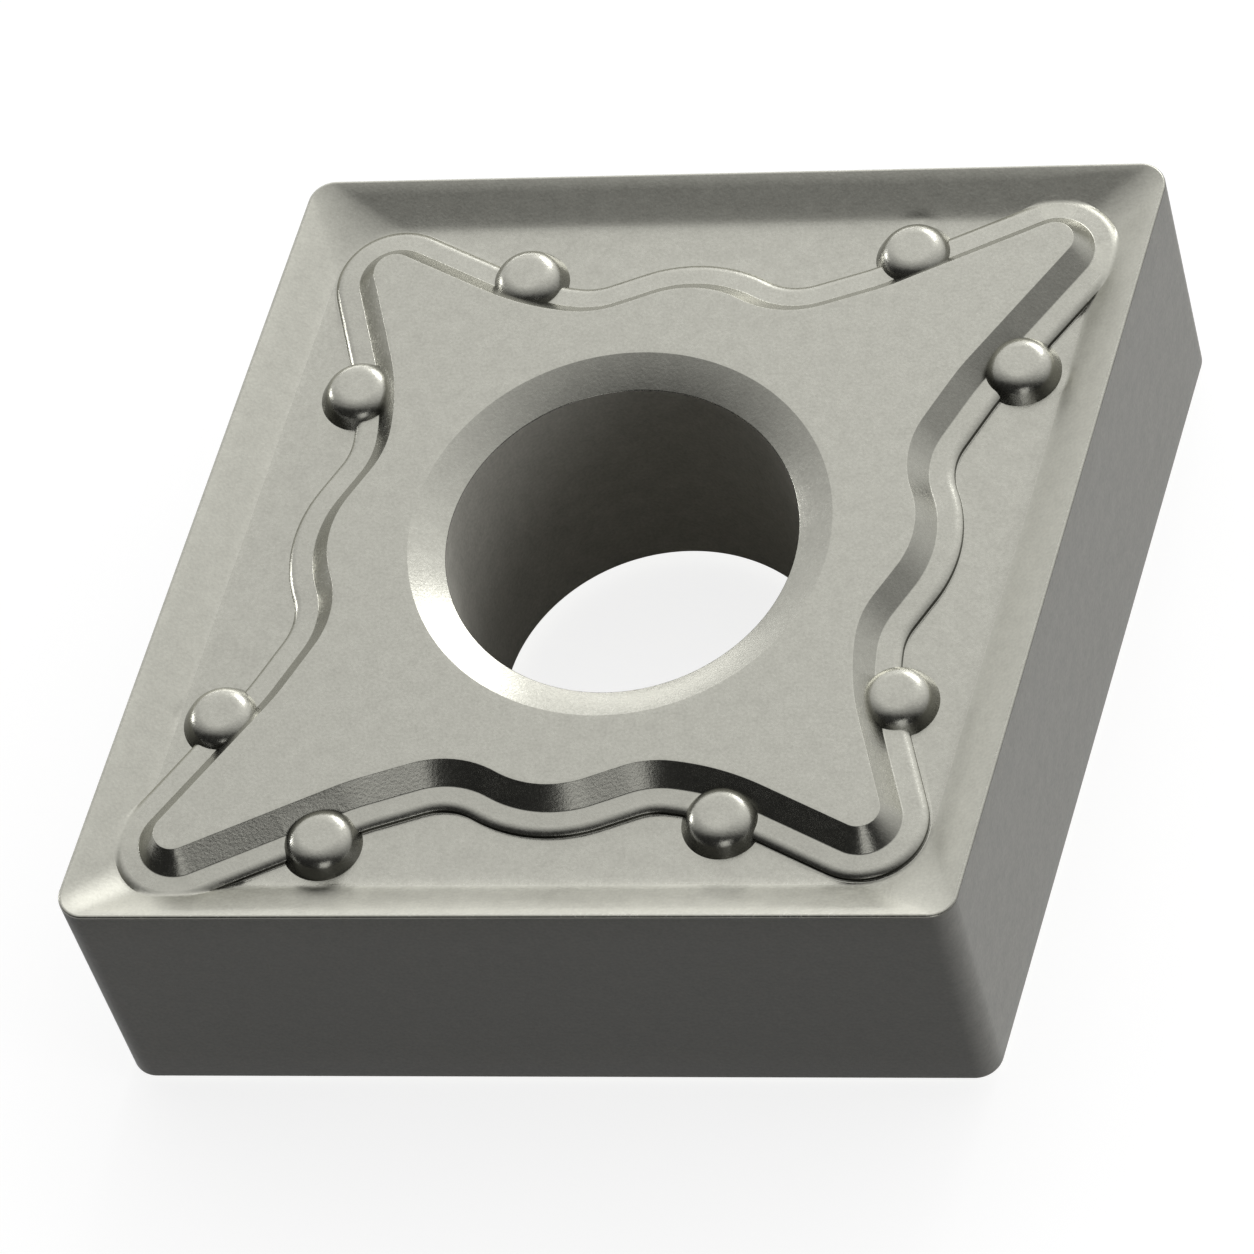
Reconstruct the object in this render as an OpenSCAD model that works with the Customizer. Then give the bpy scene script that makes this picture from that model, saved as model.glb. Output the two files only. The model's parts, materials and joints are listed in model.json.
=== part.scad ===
// Double-sided 80 degree turning insert, pressed and sintered in one piece.
// Z runs up the bore, Z = 0 is the lower seat, and X runs along one cutting edge.
// The chip breaker is drawn once, on a face whose cutting edges lie at Z = 0.

/* [Blank] */
// Circle that touches all four sides
inscribed_circle = 12.7; // [12.2:0.1:15.9]
// Angle of the two cutting corners
nose_angle = 80; // [76:1:86]
// Height over the two ground seats
thickness = 4.76; // [4:0.01:6.4]
// Radius of the four upright corners
nose_radius = 0.4; // [0.2:0.1:0.8]
// Height of each seat above its cutting edges
seat_rise = 0.07; // [0.04:0.01:0.12]
// Width of the blunt rim along the cutting edges
edge_rim = 0.04; // [0.02:0.01:0.08]

/* [Bore] */
// Diameter of the clamping bore
bore_d = 5.16; // [4.2:0.01:5.4]
// Width of the countersunk ring round the bore
countersink_w = 0.52; // [0.3:0.01:0.6]
// Depth of the countersunk ring below the seat
countersink_depth = 0.22; // [0.1:0.01:0.4]

/* [Land and floor] */
// Width of the sloping land inside the cutting edge
land_w = 0.68; // [0.5:0.01:0.75]
// Depth of the floor below the cutting edge
floor_depth = 0.35; // [0.3:0.01:0.5]
// Radius of the floor in its cutting corners
nose_floor_r = 0.4; // [0.1:0.05:0.8]
// Width of the floor that runs round the bead in the blunt corners
blunt_floor_w = 0.1; // [0.05:0.01:0.16]

/* [Bead] */
// Width of the bead outside the seat's slope
bead_w = 0.36; // [0.3:0.01:0.42]
// Height of the bead above the floor
bead_h = 0.12; // [0.08:0.01:0.16]
// Rounding of the bead's outer edge
bead_round = 0.1; // [0.05:0.01:0.1]
// Width of the slope from the bead up to the seat
slope_w = 0.28; // [0.2:0.01:0.34]

/* [Seat lobes] */
// Radius of the seat at the tip of each lobe
lobe_r = 0.3; // [0.2:0.01:0.4]
// Centre of the lobe's tip, in from the cutting corner along its diagonal
nose_lobe_in = 2.15; // [2.1:0.01:2.4]
// Centre of the lobe's tip, in from the blunt corner along its diagonal
blunt_lobe_in = 2.23; // [2.15:0.01:2.5]

/* [Seat edge] */
// Shoulder on the cutting corner's side, as a share of the edge
nose_shoulder_at = 0.315; // [0.29:0.005:0.33]
// How far the shoulder lies in from the edge
nose_shoulder_in = 2.18; // [2.1:0.01:2.25]
// Bend radius of the shoulder
nose_shoulder_r = 4; // [2:0.1:4.5]
// Waist on the cutting corner's side, as a share of the edge
nose_waist_at = 0.435; // [0.425:0.005:0.445]
// How far the waist lies in from the edge
nose_waist_in = 2.69; // [2.6:0.01:2.75]
// Bulge between the waists, as a share of the edge
bulge_at = 0.53; // [0.52:0.005:0.54]
// How far the bulge lies in from the edge
bulge_in = 1.96; // [1.9:0.01:2.05]
// Waist on the blunt corner's side, as a share of the edge
blunt_waist_at = 0.65; // [0.64:0.005:0.66]
// How far the waist lies in from the edge
blunt_waist_in = 2.55; // [2.5:0.01:2.6]
// Bend radius of the waists and of the bulge
wave_r = 1.5; // [1.2:0.05:1.6]
// Shoulder on the blunt corner's side, as a share of the edge
blunt_shoulder_at = 0.735; // [0.725:0.005:0.75]
// How far the shoulder lies in from the edge
blunt_shoulder_in = 2.38; // [2.3:0.01:2.4]
// Bend radius of the shoulder
blunt_shoulder_r = 4; // [2:0.1:4.5]

/* [Domes] */
// Dome near the cutting corner, as a share of the edge
nose_dome_at = 0.27; // [0.26:0.005:0.3]
// Dome near the blunt corner, as a share of the edge
blunt_dome_at = 0.75; // [0.72:0.005:0.77]
// Diameter of a dome where it meets the floor
dome_d = 1.18; // [1.1:0.01:1.24]
// Diameter of the flat on top of a dome
dome_flat_d = 0.48; // [0.4:0.01:0.5]
// Height of a dome above the floor
dome_h = 0.31; // [0.28:0.01:0.34]
// Rounding between the flat and the flank of a dome
dome_round = 0.3; // [0.2:0.01:0.3]
// How far a dome's centre lies inside the bead's foot
dome_inset = 0.06; // [0:0.01:0.15]
// Width of the floor between a dome near the cutting corner and the land that steps back round it
dome_clearance = 0.12; // [0.08:0.01:0.16]
// Slope of the land where it steps back
hollow_angle = 45; // [35:1:60]

/* [Hidden] */

carbide_colour = [0.66, 0.66, 0.62];
// How far a solid runs on past the face where it is cut or joined
overlap = 0.05;
// Turn of an outline between two of its points
facet_angle = 7;
// Steps in the rounding of a bead and of a dome
round_steps = 3;
dome_steps = 5;
$fn = 64;

// Height between the cutting edges of the two faces
edge_height = thickness - 2 * seat_rise;
edge_length = inscribed_circle / sin(nose_angle);
blunt_angle = 180 - nose_angle;
bore_r = bore_d / 2;
// Heights on a face, from its cutting edges
floor_z = -floor_depth;
bead_z = floor_z + bead_h;
// Corners of the front edge, from the cutting corner to the blunt one
nose_corner = [-(edge_length + edge_length * cos(nose_angle)) / 2, -inscribed_circle / 2];
blunt_corner = nose_corner + [edge_length, 0];
nose_lobe = nose_corner + nose_lobe_in * heading(nose_angle / 2);
blunt_lobe = blunt_corner + blunt_lobe_in * heading(180 - blunt_angle / 2);

// Directions and bends of a flat outline

function heading(angle) = [cos(angle), sin(angle)];
function angle_of(v) = atan2(v.y, v.x);
// Signed turn from one direction to another, between -180 and 180
function turn(from, to) = (to - from + 540) % 360 - 180;
// Points of an arc, each with the direction that faces away from the seat
function arc(centre, r, from, sweep, outward) =
    let (steps = max(1, ceil(abs(sweep) / facet_angle)))
    [for (i = [0:steps])
        let (dir = heading(from + sweep * i / steps))
        [centre + r * dir, outward * dir]];
// Point where a line from outside touches the circle on the given side
function touch(centre, r, outside, side) =
    centre + r * heading(angle_of(outside - centre) + side * acos(r / norm(outside - centre)));
// Arc of radius r that bends the line a-corner-b round its corner
function bend(a, corner, b, r) =
    let (
        in_dir = angle_of(corner - a),
        sweep = turn(in_dir, angle_of(b - corner)),
        side = sign(sweep),
        back = r * tan(abs(sweep) / 2),
        start = corner - back * heading(in_dir),
        centre = start + side * r * heading(in_dir + 90)
    )
    arc(centre, r, in_dir - side * 90, sweep, side);

// Edge of the seat

function edge_point(share, depth) = nose_corner + [share * edge_length, depth];

bends = [
    [edge_point(nose_shoulder_at, nose_shoulder_in), nose_shoulder_r],
    [edge_point(nose_waist_at, nose_waist_in), wave_r],
    [edge_point(bulge_at, bulge_in), wave_r],
    [edge_point(blunt_waist_at, blunt_waist_in), wave_r],
    [edge_point(blunt_shoulder_at, blunt_shoulder_in), blunt_shoulder_r]
];
nose_touch = touch(nose_lobe, lobe_r, bends[0][0], -1);
blunt_touch = touch(blunt_lobe, lobe_r, bends[len(bends) - 1][0], 1);
stations = concat([nose_touch], [for (b = bends) b[0]], [blunt_touch]);

// From the diagonal through the cutting corner to the one through the blunt corner
nose_tip_dir = nose_angle / 2 - 180;
blunt_tip_dir = -blunt_angle / 2;
nose_touch_dir = angle_of(nose_touch - nose_lobe);
blunt_touch_dir = angle_of(blunt_touch - blunt_lobe);
seat_edge_side = concat(
    arc(nose_lobe, lobe_r, nose_tip_dir, turn(nose_tip_dir, nose_touch_dir), 1),
    [for (i = [1:len(bends)]) each bend(stations[i - 1], stations[i], stations[i + 1], bends[i - 1][1])],
    arc(blunt_lobe, lobe_r, blunt_touch_dir, turn(blunt_touch_dir, blunt_tip_dir), 1)
);

// Mirror image of a point or a direction in the line through the origin
function mirrored(v, angle) =
    [v.x * cos(2 * angle) + v.y * sin(2 * angle), v.x * sin(2 * angle) - v.y * cos(2 * angle)];
function without_last(list) = [for (i = [0:len(list) - 2]) list[i]];
// One side's outline carried round the face, which is alike across both diagonals
function round_face(side) =
    let (
        next = [for (i = [len(side) - 1:-1:0]) [for (v = side[i]) mirrored(v, blunt_tip_dir)]],
        half = concat(without_last(side), without_last(next))
    )
    concat(half, [for (s = half) [for (v = s) -v]]);

seat_edge = round_face(seat_edge_side);

// Closed ring at one height, a given distance outside the seat's edge
function seat_ring(outset, z) = [for (s = seat_edge) let (p = s[0] + outset * s[1]) [p.x, p.y, z]];

// Outline of the rhombus moved in by inset, its corners rounded
function rhombus_side(inset, nose_r, blunt_r) =
    let (
        nose_centre = nose_corner + (inset + nose_r) / sin(nose_angle / 2) * heading(nose_angle / 2),
        blunt_centre = blunt_corner + (inset + blunt_r) / sin(blunt_angle / 2) * heading(180 - blunt_angle / 2)
    )
    concat(
        arc(nose_centre, nose_r, nose_tip_dir, turn(nose_tip_dir, -90), 1),
        arc(blunt_centre, blunt_r, -90, turn(-90, blunt_tip_dir), 1)
    );
function rhombus_ring(inset, nose_r, blunt_r, z) =
    [for (s = round_face(rhombus_side(inset, nose_r, blunt_r))) [s[0].x, s[0].y, z]];

// Land's ring at height z: each point moves along a straight line from the floor to the edge
function land_ring(z) =
    let (
        share = z / floor_z,
        rim_r = nose_radius - edge_rim,
        blunt_floor_r = lobe_r + slope_w + bead_w + blunt_floor_w
    )
    rhombus_ring(
        edge_rim + share * land_w,
        rim_r + share * (nose_floor_r - rim_r),
        rim_r + share * (blunt_floor_r - rim_r),
        z
    );

// Solid between rings that have the same number of points, the lowest ring first.
// Each end is closed by a fan round its middle, which suits any outline that is seen whole from there.
module loft(rings) {
    n = len(rings[0]);
    last = len(rings) - 1;
    low_hub = n * len(rings);
    high_hub = low_hub + 1;
    polyhedron(
        points = concat([for (ring = rings) each ring], [[0, 0, rings[0][0].z], [0, 0, rings[last][0].z]]),
        faces = [for (i = [0:n - 1])
            let (j = (i + 1) % n)
            each concat(
                [[i, j, low_hub], [last * n + j, last * n + i, high_hub]],
                [for (k = [0:last - 1])
                    each [[k * n + i, (k + 1) * n + i, k * n + j], [k * n + j, (k + 1) * n + i, (k + 1) * n + j]]]
            )]
    );
}

// Rhombic block between the two levels of cutting edges, with upright round corners
module blank() {
    nose_centre = nose_corner + nose_radius / sin(nose_angle / 2) * heading(nose_angle / 2);
    blunt_centre = blunt_corner + nose_radius / sin(blunt_angle / 2) * heading(180 - blunt_angle / 2);
    side_dir = heading(nose_angle);
    // Feet of the corners' arcs on the front and on the slanting sides
    front = [0, -nose_radius];
    left = nose_radius * heading(nose_angle + 90);
    half = [
        nose_centre + left,
        nose_centre,
        nose_centre + front,
        blunt_centre + front,
        blunt_centre,
        blunt_centre - left
    ];
    linear_extrude(edge_height) {
        polygon(concat(half, -half));
        for (centre = [nose_centre, blunt_centre, -nose_centre, -blunt_centre])
            translate(centre) circle(nose_radius);
    }
}

// Pocket inside the cutting edges: the land slopes down to a flat floor
module land_pocket() {
    loft([for (z = [floor_z, overlap]) land_ring(z)]);
}

// Seat with its slope and the bead that follows it
module seat_and_bead() {
    bead_edge = slope_w + bead_w;
    slope_run = slope_w / (seat_rise - bead_z);
    loft(concat(
        [seat_ring(bead_edge, floor_z - overlap)],
        [for (i = [0:round_steps])
            let (a = 90 * i / round_steps)
            seat_ring(bead_edge - bead_round * (1 - cos(a)), bead_z - bead_round * (1 - sin(a)))],
        [seat_ring(slope_w, bead_z)],
        [seat_ring(-overlap * slope_run, seat_rise + overlap)]
    ));
}

// Dome as a turned solid, rooted below the floor
module dome() {
    flat_r = dome_flat_d / 2;
    // Slope of the flank that starts at the rounding's end and reaches the floor at dome_d
    flank = flank_angle(dome_d / 2 - flat_r, dome_h, dome_round);
    root = [dome_d / 2 + overlap / tan(flank), -overlap];
    rounding = [for (i = [dome_steps:-1:0])
        let (a = flank * i / dome_steps)
        [flat_r + dome_round * sin(a), dome_h - dome_round * (1 - cos(a))]];
    rotate_extrude() polygon(concat([[0, -overlap], root], rounding, [[0, dome_h]]));
}
// Angle of a line that touches a circle of radius r set under the corner (0, h) and ends at (run, 0)
function flank_angle(run, h, r) =
    let (drop = h - r, reach = norm([run, drop]))
    atan2(drop, run) + asin(r / reach);

// Domes stand on the bead's outer foot
function seat_edge_y(x) = lookup(x, [for (s = seat_edge_side) s[0]]);
function dome_centre(share) =
    let (
        x = edge_point(share, 0).x,
        y = seat_edge_y(x),
        reach = slope_w + bead_w - dome_inset,
        along = [2 * overlap, seat_edge_y(x + overlap) - seat_edge_y(x - overlap)]
    )
    [x, y] + reach * heading(angle_of(along) - 90);

// Copies of a feature on the floor of all four sides, at one share of the edge
module at_domes(share) {
    p = dome_centre(share);
    for (turned = [0, 180], flipped = [false, true])
        rotate(turned) translate(flipped ? mirrored(p, blunt_tip_dir) : p) translate([0, 0, floor_z]) children();
}

// Hollow that the land leaves round a dome, wider towards the edge
module dome_hollow() {
    height = floor_depth + overlap;
    foot_r = dome_d / 2 + dome_clearance;
    cylinder(h = height, r1 = foot_r, r2 = foot_r + height / tan(hollow_angle));
}

// Everything that stands on one face
module face_relief() {
    seat_and_bead();
    for (share = [nose_dome_at, blunt_dome_at])
        at_domes(share) dome();
}

// Clamping bore with a countersunk ring at each seat
module clamping_bore() {
    ring_slope = countersink_w / countersink_depth;
    translate([0, 0, -overlap]) cylinder(h = thickness + 2 * overlap, r = bore_r);
    for (face = [0, 1])
        on_face(face) translate([0, 0, seat_rise - countersink_depth])
            cylinder(
                h = countersink_depth + overlap,
                r1 = bore_r,
                r2 = bore_r + countersink_w + overlap * ring_slope
            );
}

// What the wheel takes off when the seats are ground flat
module ground_away() {
    size = 2 * edge_length;
    for (face = [0, 1])
        on_face(face) translate([-size / 2, -size / 2, seat_rise]) cube([size, size, 2 * overlap]);
}

// Places a face's features: 0 is the upper face, 1 the lower
module on_face(face) {
    if (face == 0)
        translate([0, 0, thickness - seat_rise]) children();
    else
        translate([0, 0, seat_rise]) mirror([0, 0, 1]) children();
}

module insert() {
    color(carbide_colour)
        difference() {
            union() {
                difference() {
                    translate([0, 0, seat_rise]) blank();
                    for (face = [0, 1])
                        on_face(face) {
                            land_pocket();
                            at_domes(nose_dome_at) dome_hollow();
                        }
                }
                for (face = [0, 1])
                    on_face(face) face_relief();
            }
            clamping_bore();
            ground_away();
        }
}

insert();
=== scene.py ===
import json
import bpy
import numpy as np
from mathutils import Matrix, Vector


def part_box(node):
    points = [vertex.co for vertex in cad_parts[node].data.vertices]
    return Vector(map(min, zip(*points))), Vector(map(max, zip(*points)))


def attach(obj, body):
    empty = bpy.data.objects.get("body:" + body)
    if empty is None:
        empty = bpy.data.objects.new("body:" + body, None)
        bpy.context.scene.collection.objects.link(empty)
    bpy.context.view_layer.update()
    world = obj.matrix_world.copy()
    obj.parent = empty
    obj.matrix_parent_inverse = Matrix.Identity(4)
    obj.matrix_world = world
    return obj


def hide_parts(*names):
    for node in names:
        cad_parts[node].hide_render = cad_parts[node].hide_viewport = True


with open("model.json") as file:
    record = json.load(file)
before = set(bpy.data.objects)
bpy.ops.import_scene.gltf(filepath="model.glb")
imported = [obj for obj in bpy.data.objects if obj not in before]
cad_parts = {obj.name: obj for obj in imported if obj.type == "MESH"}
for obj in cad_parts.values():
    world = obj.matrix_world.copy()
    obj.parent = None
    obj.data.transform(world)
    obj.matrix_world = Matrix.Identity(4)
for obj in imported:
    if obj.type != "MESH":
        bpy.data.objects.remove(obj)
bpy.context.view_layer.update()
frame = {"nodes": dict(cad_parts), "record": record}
scene = bpy.context.scene
scene.view_settings.view_transform = "Standard"
mm = 0.001
print("frame loaded:", ", ".join(frame["nodes"]))

# the blank's sizes in millimetres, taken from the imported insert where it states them
insertLow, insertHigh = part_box("insert")
boreSizes = next(mount["dims"] for mount in frame["record"]["mounts"] if mount["name"] == "bore")
blank = {
    "inscribedCircle": (insertHigh[1] - insertLow[1]) / mm,
    "thickness": (insertHigh[2] - insertLow[2]) / mm,
    "noseAngle": 80,
    "cornerRadius": 0.4,
    "honeRadius": 0.035,
    "boreRadius": boreSizes["r_mm"],
    "ringWidth": 0.52,
    "ringEdge": 0.02,
    # strip of the seat that belongs to the ring's profile
    "ringStrip": 0.1,
}
blank["ringDepth"] = (blank["thickness"] - boreSizes["length_mm"]) / 2


# directions, lines and arcs

def heading(degrees):
    # unit vectors at these angles from +X
    angle = np.radians(degrees)
    return np.stack([np.cos(angle), np.sin(angle)], axis=-1)


def angleOf(vector):
    return np.degrees(np.arctan2(vector[1], vector[0]))


def turnBetween(before, after):
    # signed turn between two angles, from -180 to 180
    return (after - before + 180) % 360 - 180


def unit(vector):
    return vector / np.linalg.norm(vector)


def roundedProfile(corners, radii, steps=4):
    # a bent line with its inner corners rounded: each arc turns its radius evenly from one leg's foot
    # to the other's, about the centre that lies radius / sin(half the corner) along the bisector
    corners = np.array(corners, float)
    share = np.linspace(0, 1, steps + 1)[:, None]
    parts = [corners[:1]]
    for before, corner, after, radius in zip(corners, corners[1:], corners[2:], radii):
        toBefore, toAfter = unit(before - corner), unit(after - corner)
        half = np.arccos(toBefore @ toAfter) / 2
        centre = corner + radius / np.sin(half) * unit(toBefore + toAfter)
        start = corner + radius / np.tan(half) * toBefore - centre
        end = corner + radius / np.tan(half) * toAfter - centre
        turn = np.pi - 2 * half
        across = np.sin((1 - share) * turn) * start + np.sin(share * turn) * end
        parts.append(centre + across / np.sin(turn))
    parts.append(corners[-1:])
    return np.concatenate(parts)


# the front side's corners, from the cutting corner (nose) to the blunt one, with the bore at the origin
edgeLength = blank["inscribedCircle"] / np.sin(np.radians(blank["noseAngle"]))
noseHalf = blank["noseAngle"] / 2
bluntHalf = 90 - noseHalf
noseCorner = -(np.array([edgeLength, 0]) + edgeLength * heading(blank["noseAngle"])) / 2
bluntCorner = noseCorner + [edgeLength, 0]
noseDiagonal = noseHalf - 180
bluntDiagonal = -bluntHalf

# the seat and what stands round it, in millimetres; heights are from the cutting edges
seat = {
    "rise": 0.07,
    "lobeRadius": 0.3,
    "noseLobeIn": 2.15,
    "bluntLobeIn": 2.23,
    # share of the edge, depth in from it, bend radius
    "bends": [(0.315, 2.18, 4), (0.435, 2.69, 1.5), (0.53, 1.96, 1.5), (0.65, 2.55, 1.5), (0.735, 2.38, 4)],
    "slopeWidth": 0.28,
    "beadWidth": 0.36,
    "beadHeight": 0.12,
    # the bead's crown turns down by 45 degrees over its outer part, then drops
    "beadRound": 0.17,
    "beadDrop": 0.056,
    "beadShoulder": 0.02,
    "beadLean": 0.004,
    "fillet": 0.03,
    "crispEdge": 0.012,
    # strips of seat and floor that belong to the relief's profile
    "seatStrip": 0.05,
    "floorStrip": 0.03,
}
land = {
    "footInset": 0.72,
    "depth": 0.35,
    "noseFloorRadius": 0.4,
    "bluntFloorStrip": 0.1,
    "fillet": 0.02,
    # the land's foot lies at least this share of the way from the bead's foot to the rim
    "leastFloor": 0.04,
}
floorZ = -land["depth"]
beadZ = floorZ + seat["beadHeight"]
beadFoot = seat["slopeWidth"] + seat["beadWidth"]
middleZ = seat["rise"] - blank["thickness"] / 2


def seatEdgePath():
    # the seat's edge along one side as lines and arcs, each with its start, heading in radians,
    # curvature and length: lobe, five bends, lobe
    radius = seat["lobeRadius"]
    noseLobe = noseCorner + seat["noseLobeIn"] * heading(noseHalf)
    bluntLobe = bluntCorner + seat["bluntLobeIn"] * heading(180 - bluntHalf)
    bends = [(noseCorner + [share * edgeLength, depth], bend) for share, depth, bend in seat["bends"]]

    def touch(lobe, outside, side):
        gap = outside - lobe
        return angleOf(gap) + side * np.degrees(np.arccos(radius / np.linalg.norm(gap)))

    noseTouch = touch(noseLobe, bends[0][0], -1)
    bluntTouch = touch(bluntLobe, bends[-1][0], 1)
    stations = [noseLobe + radius * heading(noseTouch)]
    stations += [point for point, bend in bends]
    stations += [bluntLobe + radius * heading(bluntTouch)]
    rows = []

    def add(start, degrees, turn, length):
        rows.append((*start, np.radians(degrees), np.radians(turn) / length, length))

    noseTurn = turnBetween(noseDiagonal, noseTouch)
    add(noseLobe + radius * heading(noseDiagonal), noseDiagonal + 90, noseTurn, np.radians(noseTurn) * radius)
    at = stations[0]
    for before, (corner, bend), after in zip(stations, bends, stations[2:]):
        inward, outward = angleOf(corner - before), angleOf(after - corner)
        turn = turnBetween(inward, outward)
        back = bend * np.tan(np.radians(abs(turn)) / 2)
        start = corner - back * heading(inward)
        add(at, inward, 0, np.linalg.norm(start - at))
        add(start, inward, turn, np.radians(abs(turn)) * bend)
        at = corner + back * heading(outward)
    add(at, outward, 0, np.linalg.norm(stations[-1] - at))
    bluntTurn = turnBetween(bluntTouch, bluntDiagonal)
    add(stations[-1], bluntTouch + 90, bluntTurn, np.radians(bluntTurn) * radius)
    return np.array(rows)


finePoints = {"forBead": 6000, "forDomes": 4000}  # places along the seat's edge, for reading off lengths


def alongPath(path, at):
    # point, outward normal and curvature at lengths along a path: from its segment's start, a point lies
    # one chord away, length * sinc(turn / 2), in the direction halfway through the turn
    ends = np.cumsum(path[:, 4])
    which = np.minimum(np.searchsorted(ends, at, side="right"), len(ends) - 1)
    segment = path[which]
    inside = at - (ends[which] - segment[:, 4])
    turn = segment[:, 3] * inside
    chord = inside * np.sinc(turn / (2 * np.pi))
    points = segment[:, :2] + chord[:, None] * heading(np.degrees(segment[:, 2] + turn / 2))
    return points, heading(np.degrees(segment[:, 2] + turn) - 90), segment[:, 3]


def evenLengths(path, count):
    # lengths along the path that are spaced evenly on the bead, whose element is (1 + curvature * offset)
    fine = np.linspace(0, path[:, 4].sum(), finePoints["forBead"])
    curvature = alongPath(path, fine)[2]
    beadMiddle = seat["slopeWidth"] + seat["beadWidth"] / 2
    onBead = np.concatenate([[0], np.cumsum(1 + curvature[1:] * beadMiddle)])
    return np.interp(np.linspace(0, onBead[-1], count), onBead, fine)


dome = {
    # share of the edge, for the one near the nose and the one near the blunt corner
    "at": [0.27, 0.75],
    "baseRadius": 0.59,
    "flatRadius": 0.24,
    "height": 0.31,
    "rounding": 0.3,
    "inset": 0.06,
    "clearance": 0.12,
    "hollowSlope": 45,
    "hollowBlend": 0.02,
    "root": 0.06,
    "around": 56,
    "shoulderSteps": 14,
    "capRadius": 0.12,
}


def sideDomes():
    # a dome stands on the bead's foot, straight out from the seat's edge, at its share of the side
    path = seatEdgePath()
    fine = np.linspace(0, path[:, 4].sum(), finePoints["forDomes"])
    along = noseCorner[0] + np.array(dome["at"]) * edgeLength
    lengths = np.interp(along, alongPath(path, fine)[0][:, 0], fine)
    points, normals = alongPath(path, lengths)[:2]
    return points + (beadFoot - dome["inset"]) * normals


def bluntMirror():
    # reflection in the blunt diagonal, for points in the plane
    twice = np.radians(2 * bluntDiagonal)
    return np.array([[np.cos(twice), np.sin(twice)], [np.sin(twice), -np.cos(twice)]])


def domeCentres():
    # one side's domes, mirrored in the blunt diagonal and turned half round
    side = sideDomes()
    face = np.concatenate([side, side @ bluntMirror()])
    return np.concatenate([face, -face])


# the land's rings: each is the rhombus moved in, with rounded corners; the nearest corner rules

honeTurn = np.degrees(np.arctan2(land["depth"], land["footInset"] - blank["honeRadius"]))
landTop = {
    "inset": blank["honeRadius"] * (1 + np.sin(np.radians(honeTurn))),
    "z": -blank["honeRadius"] * (1 - np.cos(np.radians(honeTurn))),
}


def cornerShare(points, corner, bisector, half, floorRadius):
    # share of the way down the land inside one corner. The ring at share t is an arc of radius
    # r0 + t * dr about a point k0 + t * k1 along the bisector, so t solves a quadratic; the larger root
    # faces the corner. Outside the arc's sector the answer is infinite, and the straight side holds.
    sine, cosine = np.sin(np.radians(half)), np.cos(np.radians(half))
    r0 = blank["cornerRadius"] - landTop["inset"]
    dr = floorRadius - r0
    k0 = blank["cornerRadius"] / sine
    k1 = (land["footInset"] - landTop["inset"] + dr) / sine
    x = (points - corner) @ bisector
    y = np.abs((points - corner) @ np.array([-bisector[1], bisector[0]]))
    a = k1 ** 2 - dr ** 2
    b = (x - k0) * k1 + r0 * dr
    c = (x - k0) ** 2 + y ** 2 - r0 ** 2
    t = (b + np.sqrt(np.maximum(b ** 2 - a * c, 0))) / a
    fromCentre = k0 + k1 * t - x
    return np.where(y * sine < fromCentre * cosine, t, np.inf)


def pocketHeight(points):
    # height of the land and floor: falls evenly with the share of the way in, and a hyperbola
    # (h + sqrt(h * h + 4 f * f)) / 2 rounds the foot of the land by f. Round the dome near the nose a
    # steeper cone cuts into the land: the lower of the two heights holds, blended in the same way
    bluntFloorRadius = seat["lobeRadius"] + beadFoot + land["bluntFloorStrip"]
    straight = (points[..., 1] - noseCorner[1] - landTop["inset"]) / (land["footInset"] - landTop["inset"])
    nose = cornerShare(points, noseCorner, heading(noseHalf), noseHalf, land["noseFloorRadius"])
    blunt = cornerShare(points, bluntCorner, heading(180 - bluntHalf), bluntHalf, bluntFloorRadius)
    share = np.minimum(np.minimum(nose, blunt), straight)
    above = (1 - share) * (landTop["z"] - floorZ)
    fromDome = np.linalg.norm(points - sideDomes()[0], axis=-1)
    hollow = (fromDome - dome["baseRadius"] - dome["clearance"]) * np.tan(np.radians(dome["hollowSlope"]))
    above = (above + hollow - np.sqrt((above - hollow) ** 2 + dome["hollowBlend"] ** 2)) / 2
    return floorZ + (above + np.sqrt(above ** 2 + 4 * land["fillet"] ** 2)) / 2, share


def softMax(a, b, blend=0.01):
    # larger of two heights, with the crease between them rounded
    return (a + b + np.sqrt((a - b) ** 2 + blend ** 2)) / 2


def atHeight(points, z):
    return np.concatenate([points, np.broadcast_to(z, points.shape[:-1])[..., None]], axis=-1)


bodyGrid = {
    "columns": 150,
    "boreRows": [0.45, 0.9],
    "plateauRows": [0.3, 0.65],
    "floorRows": [0.12, 0.3, 0.5, 0.7, 0.85, 0.94, 1],
    "landRows": [0.04, 0.08, 0.12, 0.17, 0.24, 0.35, 0.5, 0.75, 1],
    "honeSteps": 6,
    "wallRows": [0.3, 0.65, 1],
}


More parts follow.
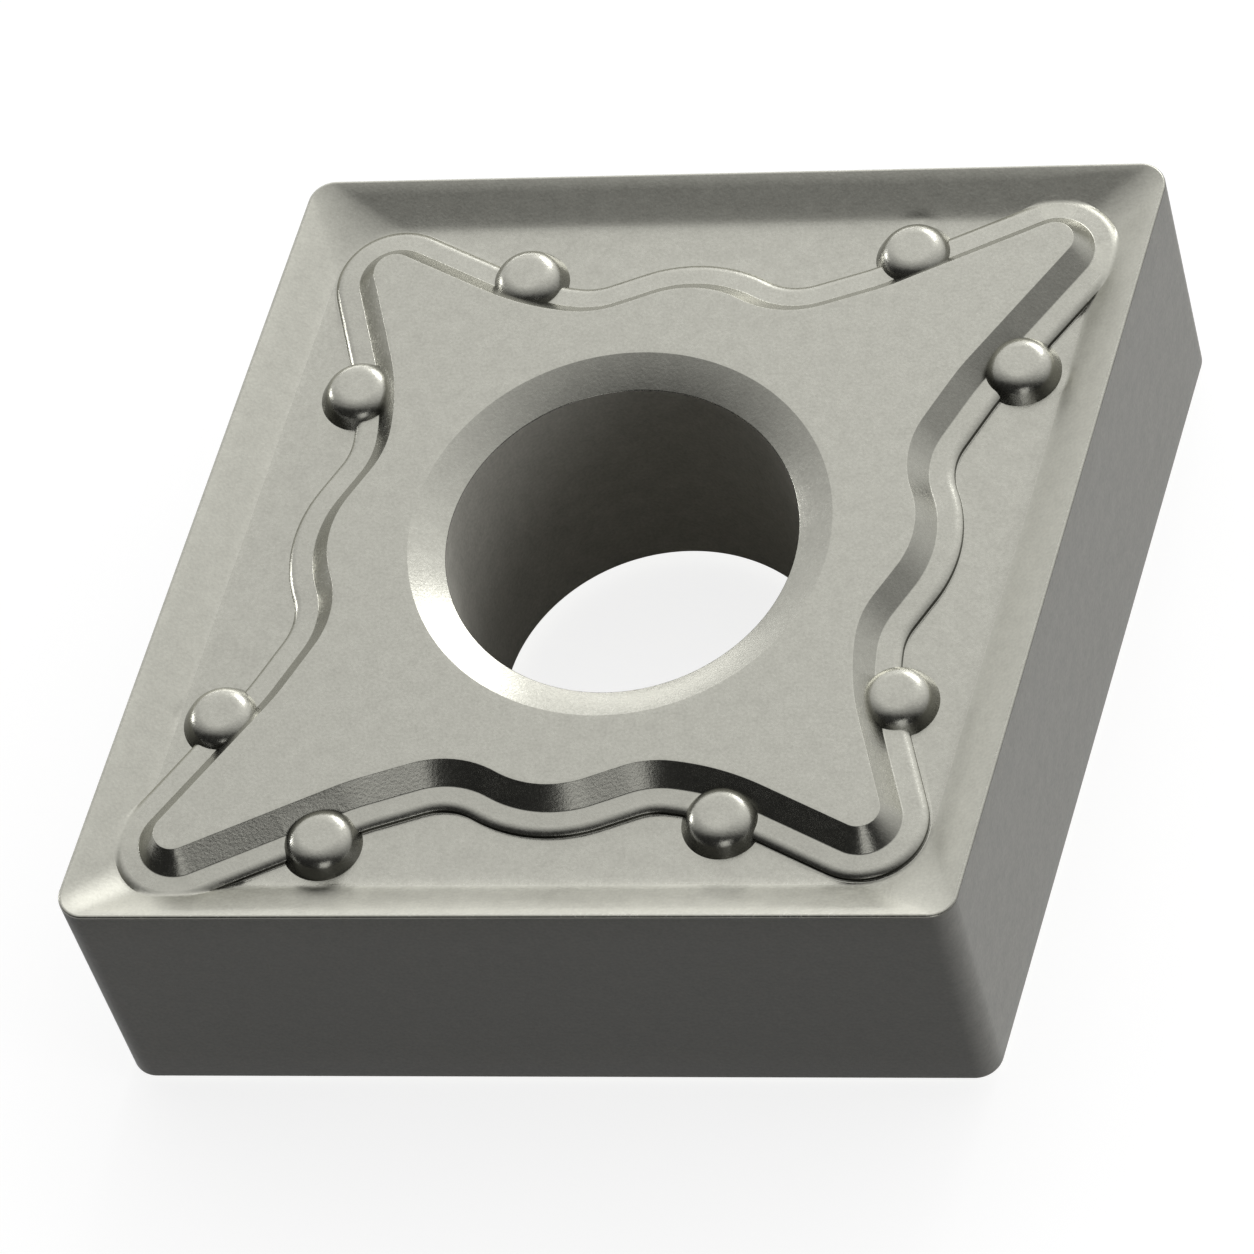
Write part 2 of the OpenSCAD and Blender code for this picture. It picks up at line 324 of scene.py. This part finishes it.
def sidePatch():
    # one side of one face, from the middle of the bore's wall over the face to the middle of the flank.
    # Rows run outwards and columns from the nose diagonal to the blunt one: the surface is a set of
    # profiles carried along the seat's edge, joined by straight blends to the bore's circle and the rim
    path = seatEdgePath()
    lengths = evenLengths(path, bodyGrid["columns"])
    edge, normal = alongPath(path, lengths)[:2]

    # bore and countersunk ring, as radius and height
    ringTop = blank["boreRadius"] + blank["ringWidth"]
    ringLow = seat["rise"] - blank["ringDepth"]
    centreProfile = roundedProfile(
        [(blank["boreRadius"], middleZ), (blank["boreRadius"], ringLow), (ringTop, seat["rise"]),
         (ringTop + blank["ringStrip"], seat["rise"])],
        [blank["ringEdge"]] * 2,
    )
    bore = [(blank["boreRadius"], middleZ + share * (ringLow - middleZ)) for share in bodyGrid["boreRows"]]
    centreProfile = np.concatenate([centreProfile[:1], bore, centreProfile[1:]])
    outward = edge / np.linalg.norm(edge, axis=1)[:, None]
    rows = [atHeight(centreProfile[:, :1, None] * outward, centreProfile[:, 1:])]

    # relief, as distance outside the seat's edge and height
    relief = roundedProfile(
        [(-seat["seatStrip"], seat["rise"]), (0, seat["rise"]), (seat["slopeWidth"], beadZ),
         (beadFoot - seat["beadDrop"], beadZ), (beadFoot, beadZ - seat["beadDrop"]),
         (beadFoot + seat["beadLean"], floorZ), (beadFoot + seat["floorStrip"], floorZ)],
        [seat["crispEdge"], seat["fillet"], seat["beadRound"], seat["beadShoulder"], seat["crispEdge"]],
    )
    inner = edge + relief[0, 0] * normal
    share = np.array(bodyGrid["plateauRows"])[:, None, None]
    start = centreProfile[-1, 0] * outward
    rows.append(atHeight(start + share * (inner - start), seat["rise"]))
    around = edge + relief[:, :1, None] * normal
    floor = pocketHeight(around)[0]
    rows.append(atHeight(around, softMax(relief[:, 1:], floor)))

    # rim: each column of a lobe's arc meets the corner's arc where both face the same way
    foot = around[-1]
    faces = np.degrees(np.arctan2(normal[:, 1], normal[:, 0]))
    onNose = (faces < -90) & (lengths < path[0, 4])
    onBlunt = (faces > -90) & (lengths > path[:-1, 4].sum())
    back = blank["cornerRadius"]
    noseCentre = noseCorner + back / np.sin(np.radians(noseHalf)) * heading(noseHalf)
    bluntCentre = bluntCorner + back / np.sin(np.radians(bluntHalf)) * heading(180 - bluntHalf)
    middle = ~(onNose | onBlunt)
    ends = foot[middle][[0, -1], 0]
    centre = np.stack([np.interp(foot[:, 0], ends, [noseCentre[0], bluntCentre[0]]),
                       np.full(len(foot), noseCentre[1])], axis=-1)
    rimNormal = np.where(middle[:, None], [0, -1], normal)

    # floor and land, straight from the bead's foot to the land's foot and on to the rim
    rim = centre + (back - landTop["inset"]) * rimNormal
    share = pocketHeight(foot)[1]
    crease = foot + np.maximum((share - 1) / share, land["leastFloor"])[:, None] * (rim - foot)
    part = np.array(bodyGrid["floorRows"])[:, None, None]
    onFloor = foot + part * (crease - foot)
    part = np.array(bodyGrid["landRows"])[:, None, None]
    onLand = crease + part * (rim - crease)
    outside = np.concatenate([onFloor, onLand])
    rows.append(atHeight(outside, pocketHeight(outside)[0]))

    # honed edge, an arc from the land's slope round to the flank, then the flank
    turn = np.radians(np.linspace(-honeTurn, 90, bodyGrid["honeSteps"] + 1))[1:, None, None]
    hone = blank["honeRadius"]
    rows.append(atHeight(centre + (back - hone + hone * np.sin(turn)) * rimNormal,
                         (-hone + hone * np.cos(turn))[..., 0]))
    down = np.array(bodyGrid["wallRows"])[:, None]
    wall = np.broadcast_to(centre + back * rimNormal, (len(down), *centre.shape))
    rows.append(atHeight(wall, -hone + down * (middleZ + hone)))
    return np.concatenate(rows)


def wholeInsert(patch):
    # the patch mirrored in the blunt diagonal and turned half round gives a face; the face mirrored
    # in the middle plane gives the insert. Rows and columns both close on themselves, like a ring's skin.
    mirror = np.eye(3)
    mirror[:2, :2] = bluntMirror()
    mirrored = (patch @ mirror)[:, ::-1]
    half = np.concatenate([patch[:, :-1], mirrored[:, :-1]], axis=1)
    face = np.concatenate([half, half * [-1, -1, 1]], axis=1)
    under = (face * [1, 1, -1] + [0, 0, 2 * middleZ])[::-1]
    return np.concatenate([face, under[1:-1]])


def ringFaces(rows, columns, closeRows):
    # quads between neighbours of a grid whose columns close on themselves
    row, column = np.meshgrid(np.arange(rows if closeRows else rows - 1), np.arange(columns), indexing="ij")
    nextRow, nextColumn = (row + 1) % rows, (column + 1) % columns
    corners = [row * columns + column, nextRow * columns + column,
               nextRow * columns + nextColumn, row * columns + nextColumn]
    return np.stack(corners, axis=-1).reshape(-1, 4)


def newPiece(name, points, faces):
    # points come in millimetres from the cutting edges' height; the piece lies in the frame in metres
    mesh = bpy.data.meshes.new(name)
    placed = (points.reshape(-1, 3) + [0, 0, blank["thickness"] - seat["rise"]]) * mm
    mesh.from_pydata(placed.tolist(), [], faces)
    mesh.polygons.foreach_set("use_smooth", np.ones(len(mesh.polygons), bool))
    piece = bpy.data.objects.new(name, mesh)
    scene.collection.objects.link(piece)
    return piece


def domeGrid():
    # a profile turned round its axis: from its root up the flank, round the shoulder to the flat
    run, drop = dome["baseRadius"] - dome["flatRadius"], dome["height"] - dome["rounding"]
    flank = np.arctan2(drop, run) + np.arcsin(dome["rounding"] / np.hypot(run, drop))
    shoulder = dome["baseRadius"] - dome["height"] / np.tan(flank)
    profile = roundedProfile(
        [(dome["baseRadius"] + dome["root"] / np.tan(flank), -dome["root"]),
         (shoulder, dome["height"]), (0, dome["height"])],
        [dome["rounding"]],
        steps=dome["shoulderSteps"],
    )[:-1]
    profile = np.concatenate([profile, [[dome["capRadius"], dome["height"]]]])
    turned = heading(np.arange(dome["around"]) * 360 / dome["around"])
    return atHeight(profile[:, :1, None] * turned, profile[:, 1:])


def domeShells():
    # every dome of both faces; the lower ones are turned over about X
    shape = domeGrid()
    upper = shape + [0, 0, floorZ]
    centres = domeCentres()
    above = upper + atHeight(centres, 0)[:, None, None]
    below = (upper * [1, -1, -1] + [0, 0, 2 * middleZ]) + atHeight(centres, 0)[:, None, None]
    shells = np.concatenate([above, below])
    rows, columns = shape.shape[:2]
    around = np.arange(columns)
    quads = ringFaces(rows, columns, closeRows=False)[:, ::-1]
    caps = [around[::-1], (rows - 1) * columns + around]
    faces = []
    for start in np.arange(len(shells)) * rows * columns:
        faces += (quads + start).tolist() + [(cap + start).tolist() for cap in caps]
    return shells, faces


sharpAngle = 32  # degrees between faces from which an edge shows as sharp

# one skin for the body, then the domes are joined to it
bodyPoints = wholeInsert(sidePatch())
insertPiece = newPiece("insert_body", bodyPoints, ringFaces(*bodyPoints.shape[:2], closeRows=True).tolist())
print("body skin:", len(insertPiece.data.polygons), "faces")
domePiece = newPiece("domes", *domeShells())
join = insertPiece.modifiers.new("domes", "BOOLEAN")
join.operation = "UNION"
join.solver = "EXACT"
join.object = domePiece
bpy.context.view_layer.update()
joined = bpy.data.meshes.new_from_object(insertPiece.evaluated_get(bpy.context.evaluated_depsgraph_get()))
insertPiece.modifiers.clear()
insertPiece.data = joined
bpy.data.objects.remove(domePiece)
joined.polygons.foreach_set("use_smooth", np.ones(len(joined.polygons), bool))
joined.set_sharp_from_angle(angle=np.radians(sharpAngle))
shading = insertPiece.modifiers.new("shading", "WEIGHTED_NORMAL")
shading.keep_sharp = True
print("insert with its domes:", len(joined.polygons), "faces")

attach(insertPiece, "root")
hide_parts("insert")


# materials

def addNode(tree, kind, values=None, **settings):
    made = tree.nodes.new(kind)
    for name, value in settings.items():
        setattr(made, name, value)
    for name, value in (values or {}).items():
        made.inputs[name].default_value = value
    return made


def addRange(tree, source, result):
    # carries one span of values over to another
    names = ("From Min", "From Max", "To Min", "To Max")
    return addNode(tree, "ShaderNodeMapRange", dict(zip(names, (*source, *result))))


# the pressed faces shine and keep a fine grit, the land is paler and less bright, the flanks are matt and
# so is the bore; the pressed faces also get painted shade on steep walls, set as the share of the face's tone
# left on its steepest walls
finishes = {
    "pressed_face": {
        "dark": (0.42, 0.415, 0.368, 1),
        "pale": (0.53, 0.525, 0.468, 1),
        "metallic": 1.0,
        "specular": 0.5,
        "roughness": (0.22, 0.29),
        # painted shade: the steepest walls keep only this share of the face's tone
        "walls": 0.2,
        # sizes in millimetres
        "grain": 0.045,
        "cloud": 0.25,
        "cloudShare": 0.35,
        "bump": 0.6,
    },
    "ground_flank": {
        "dark": (0.34, 0.336, 0.312, 1),
        "pale": (0.5, 0.495, 0.46, 1),
        "metallic": 0.0,
        "specular": 0.2,
        "roughness": (0.45, 0.55),
        "walls": 1.0,
        "grain": 0.06,
        "cloud": 0.3,
        "cloudShare": 0.4,
        "bump": 0.5,
    },
    "sintered_bore": {
        "dark": (0.37, 0.36, 0.325, 1),
        "pale": (0.51, 0.497, 0.45, 1),
        "metallic": 0.0,
        "specular": 0.0,
        "roughness": (0.5, 0.6),
        "walls": 1.0,
        "grain": 0.05,
        "cloud": 0.3,
        "cloudShare": 0.35,
        "bump": 0.5,
    },
}
finishes["pressed_land"] = {
    **finishes["pressed_face"],
    "dark": (0.46, 0.455, 0.403, 1),
    "pale": (0.58, 0.575, 0.512, 1),
    "roughness": (0.36, 0.44),
    "walls": 1.0,
}
bumpDepth = 0.003  # millimetres
noises = {
    "grain": {"Detail": 2.0, "Roughness": 0.6},
    "cloud": {"Detail": 3.0, "Roughness": 0.5},
}
patternSpan = (0.3, 0.7)  # values of the mixed pattern between which colour and roughness go from end to end
# painted shade on steep walls, between these heights of the normal
paintedShadeSpan = (0.3, 0.85)  # height of the surface's normal, from full wall tone to none


def carbideMaterial(name, finish):
    # grain and soft clouds share one value, which shifts colour and roughness; the grain alone is the bump.
    # The colour is darkened to a painted shade on steep walls from a slope of about 30 degrees on
    material = bpy.data.materials.new(name)
    material.use_nodes = True
    tree = material.node_tree
    tree.nodes.clear()
    link = tree.links.new
    place = addNode(tree, "ShaderNodeTexCoord")
    inMm = addNode(tree, "ShaderNodeMapping", {"Scale": (1 / mm, 1 / mm, 1 / mm)})
    link(place.outputs["Object"], inMm.inputs["Vector"])
    grain, cloud = [addNode(tree, "ShaderNodeTexNoise", {"Scale": 1 / finish[name], **values})
                    for name, values in noises.items()]
    for texture in (grain, cloud):
        link(inMm.outputs["Vector"], texture.inputs["Vector"])
    ofCloud = addNode(tree, "ShaderNodeMath", {1: finish["cloudShare"]}, operation="MULTIPLY")
    both = addNode(tree, "ShaderNodeMath", {1: 1 - finish["cloudShare"]}, operation="MULTIPLY_ADD")
    link(cloud.outputs["Fac"], ofCloud.inputs[0])
    link(grain.outputs["Fac"], both.inputs[0])
    link(ofCloud.outputs["Value"], both.inputs[2])
    colour = addNode(tree, "ShaderNodeValToRGB")
    for stop, position, tone in zip(colour.color_ramp.elements, patternSpan, ("dark", "pale")):
        stop.position = position
        stop.color = finish[tone]
    link(both.outputs["Value"], colour.inputs["Fac"])
    # painted shade: the colour is scaled down on steep walls, by the height of the normal
    upwards = addNode(tree, "ShaderNodeSeparateXYZ")
    level = addNode(tree, "ShaderNodeMath", operation="ABSOLUTE")
    paintedShade = addRange(tree, paintedShadeSpan, (finish["walls"], 1.0))
    toned = addNode(tree, "ShaderNodeVectorMath", operation="SCALE")
    link(place.outputs["Normal"], upwards.inputs["Vector"])
    link(upwards.outputs["Z"], level.inputs[0])
    link(level.outputs["Value"], paintedShade.inputs["Value"])
    link(colour.outputs["Color"], toned.inputs["Vector"])
    link(paintedShade.outputs["Result"], toned.inputs["Scale"])
    roughness = addRange(tree, patternSpan, finish["roughness"])
    link(both.outputs["Value"], roughness.inputs["Value"])
    bump = addNode(tree, "ShaderNodeBump", {"Strength": finish["bump"], "Distance": bumpDepth * mm})
    link(grain.outputs["Fac"], bump.inputs["Height"])
    shader = addNode(tree, "ShaderNodeBsdfPrincipled",
                     {"Metallic": finish["metallic"], "Specular IOR Level": finish["specular"]})
    link(toned.outputs["Vector"], shader.inputs["Base Color"])
    link(roughness.outputs["Result"], shader.inputs["Roughness"])
    link(bump.outputs["Normal"], shader.inputs["Normal"])
    output = addNode(tree, "ShaderNodeOutputMaterial")
    link(shader.outputs["BSDF"], output.inputs["Surface"])
    return material


uprightBelow = 0.4  # height of a face's normal under which the face counts as upright


def finishOfFaces(mesh):
    # place of each face's finish in the list: 1 on upright faces below the relief, 2 inside the ring,
    # 3 on the land, else 0. Centres are folded over the diagonals on to the front side to find the land
    count = len(mesh.polygons)
    centres, normals = np.empty(count * 3), np.empty(count * 3)
    mesh.polygons.foreach_get("center", centres)
    mesh.polygons.foreach_get("normal", normals)
    centres, normals = centres.reshape(-1, 3) / mm, normals.reshape(-1, 3)
    fromMiddle = np.abs(centres[:, 2] - blank["thickness"] / 2)
    upright = np.abs(normals[:, 2]) < uprightBelow
    onFlank = upright & (fromMiddle < blank["thickness"] / 2 - seat["rise"] - land["depth"])
    inBore = upright & (np.hypot(centres[:, 0], centres[:, 1]) < blank["boreRadius"] + blank["ringEdge"])
    diagonals = np.stack([heading(noseDiagonal), heading(bluntDiagonal)])
    folded = np.abs(centres[:, :2] @ diagonals.T) @ diagonals
    share = pocketHeight(folded)[1]
    fromDome = np.linalg.norm(folded - sideDomes()[0], axis=1)
    onLand = ~upright & (share > 0) & (share < 1) & (fromDome > dome["baseRadius"])
    return np.select([inBore, onFlank, onLand], [2, 1, 3], 0).astype(np.int32)


joined.materials.clear()
for finishName, finish in finishes.items():
    joined.materials.append(carbideMaterial(finishName, finish))
joined.polygons.foreach_set("material_index", finishOfFaces(joined))
print("materials made:", ", ".join(finishes))


# floor, light and camera

floorSizes = {
    # in metres: a disc in the middle, flat round it, and swept up to the rim
    "discRadius": 0.1,
    "flatRadius": 1.2,
    "rimRadius": 1.5,
    "rimHeight": 0.16,
    "sweepRadius": 0.6,
    "sweepSteps": 8,
    "around": 96,
    # its tone and glow in the picture and in reflections, and its tone for all other light, with no glow
    "seen": (0.33, 0.33, 0.33, 1),
    "glow": 0.82,
    "bounced": (0.06, 0.06, 0.06, 1),
    "roughness": 0.9,
}


def fromBackground(tree):
    # 1 for camera, glossy and transmission rays, 0 for the others
    paths = addNode(tree, "ShaderNodeLightPath")
    first = addNode(tree, "ShaderNodeMath", operation="MAXIMUM")
    second = addNode(tree, "ShaderNodeMath", operation="MAXIMUM")
    tree.links.new(paths.outputs["Is Camera Ray"], first.inputs[0])
    tree.links.new(paths.outputs["Is Glossy Ray"], first.inputs[1])
    tree.links.new(first.outputs["Value"], second.inputs[0])
    tree.links.new(paths.outputs["Is Transmission Ray"], second.inputs[1])
    return second.outputs["Value"]


def floorPiece():
    # a profile of radius and height turned round the bore's axis, with a disc in the middle
    around = floorSizes["around"]
    corners = [(floorSizes["discRadius"], 0), (floorSizes["flatRadius"], 0),
               (floorSizes["rimRadius"], floorSizes["rimHeight"])]
    profile = roundedProfile(corners, [floorSizes["sweepRadius"]], steps=floorSizes["sweepSteps"])
    turned = heading(np.arange(around) * 360 / around)
    points = atHeight(profile[:, :1, None] * turned, profile[:, 1:])
    faces = ringFaces(*points.shape[:2], closeRows=False).tolist() + [list(range(around))]
    mesh = bpy.data.meshes.new("floor")
    mesh.from_pydata(points.reshape(-1, 3).tolist(), [], faces)
    floor = bpy.data.objects.new("floor", mesh)
    scene.collection.objects.link(floor)
    material = bpy.data.materials.new("pale_floor")
    material.use_nodes = True
    tree = material.node_tree
    shader = tree.nodes["Principled BSDF"]
    shader.inputs["Roughness"].default_value = floorSizes["roughness"]
    shader.inputs["Specular IOR Level"].default_value = 0
    shader.inputs["Emission Color"].default_value = (1, 1, 1, 1)
    seen = fromBackground(tree)
    tone = addNode(tree, "ShaderNodeMix", data_type="RGBA")
    tone.inputs["A"].default_value = floorSizes["bounced"]
    tone.inputs["B"].default_value = floorSizes["seen"]
    glow = addNode(tree, "ShaderNodeMath", {1: floorSizes["glow"]}, operation="MULTIPLY")
    tree.links.new(seen, tone.inputs["Factor"])
    tree.links.new(seen, glow.inputs[0])
    tree.links.new(tone.outputs["Result"], shader.inputs["Base Color"])
    tree.links.new(glow.outputs["Value"], shader.inputs["Emission Strength"])
    mesh.materials.append(material)


floorPiece()

# a room whose light falls with the cosine of the angle from its brightest direction, where 1 looks white
room = {
    "azimuth": 79,
    "elevation": 17,
    "bright": 1.28,
    "dim": 0.03,
    # cosine at which the light has faded to dim
    "fadesAt": -0.25,
}


def addRoom():
    world = bpy.data.worlds.new("room")
    scene.world = world
    world.use_nodes = True
    tree = world.node_tree
    brightest = (*(heading(room["azimuth"]) * np.cos(np.radians(room["elevation"]))),
                 np.sin(np.radians(room["elevation"])))
    direction = addNode(tree, "ShaderNodeTexCoord")
    cosine = addNode(tree, "ShaderNodeVectorMath", {1: brightest}, operation="DOT_PRODUCT")
    strength = addRange(tree, (room["fadesAt"], 1.0), (room["dim"], room["bright"]))
    surround = tree.nodes["Background"]
    surround.inputs["Color"].default_value = (1, 1, 1, 1)
    tree.links.new(direction.outputs["Generated"], cosine.inputs[0])
    tree.links.new(cosine.outputs["Value"], strength.inputs["Value"])
    tree.links.new(strength.outputs["Result"], surround.inputs["Strength"])


addRoom()

# azimuth from +X towards +Y and elevation in degrees, width and height in metres, and glow, where 1
# looks white. A lamp on bright shows only as a reflection, and one on matt lights only what scatters light
lampDistance = 0.4  # metres, from the origin
lamps = {
    "window": {"azimuth": 78, "elevation": 28, "width": 0.15, "height": 0.14, "glow": 3.9, "on": "all"},
    "lowStrip": {"azimuth": 103, "elevation": 4, "width": 0.3, "height": 0.055, "glow": 2.0, "on": "all"},
    "kicker": {"azimuth": 158, "elevation": 15, "width": 0.07, "height": 0.07, "glow": 8.0, "on": "bright"},
    "frontStrip": {"azimuth": 281, "elevation": 20, "width": 0.16, "height": 0.25, "glow": 1.2,
                   "on": "bright"},
    "sideFill": {"azimuth": 352, "elevation": 17, "width": 0.3, "height": 0.2, "glow": 1.5, "on": "matt"},
}


def addLamp(name, sizes):
    # a plain card of area a that glows like white paper gives off pi * a watts
    data = bpy.data.lights.new(name, "AREA")
    data.shape = "RECTANGLE"
    data.size = sizes["width"]
    data.size_y = sizes["height"]
    data.energy = sizes["glow"] * np.pi * sizes["width"] * sizes["height"]
    lamp = bpy.data.objects.new(name, data)
    scene.collection.objects.link(lamp)
    lamp.visible_camera = False
    lamp.visible_glossy = sizes["on"] != "matt"
    lamp.visible_diffuse = sizes["on"] != "bright"
    flat = heading(sizes["azimuth"]) * np.cos(np.radians(sizes["elevation"]))
    towards = Vector((*flat, np.sin(np.radians(sizes["elevation"]))))
    lamp.location = towards * lampDistance
    lamp.rotation_mode = "QUATERNION"
    lamp.rotation_quaternion = towards.to_track_quat("Z", "Y")


for lampName, lampSizes in lamps.items():
    addLamp(lampName, lampSizes)

# where the photograph was taken from, in millimetres and degrees: it looks down at the bore's mouth,
# a little rolled, and its azimuth counts from -Y towards +X
photoView = {
    "aim": (0.272, -1.585, 4.69),
    "distance": 104.61,
    "azimuth": 21.65,
    "elevation": 55.73,
    "roll": 18.73,
    "lens": 211.2,
    "sensorWidth": 36,
    # nearest and farthest that it sees, in metres
    "clip": (0.005, 5),
}


def addCamera():
    data = bpy.data.cameras.new("camera")
    data.lens = photoView["lens"]
    data.sensor_width = photoView["sensorWidth"]
    data.clip_start, data.clip_end = photoView["clip"]
    camera = bpy.data.objects.new("camera", data)
    scene.collection.objects.link(camera)
    level = np.cos(np.radians(photoView["elevation"])) * heading(photoView["azimuth"] - 90)
    back = Vector((*level, np.sin(np.radians(photoView["elevation"]))))
    camera.location = (Vector(photoView["aim"]) + back * photoView["distance"]) * mm
    camera.rotation_mode = "QUATERNION"
    roll = Matrix.Rotation(-np.radians(photoView["roll"]), 3, back)
    camera.rotation_quaternion = (roll @ (-back).to_track_quat("-Z", "Y").to_matrix()).to_quaternion()
    scene.camera = camera


addCamera()
print("floor, lamps and camera placed")
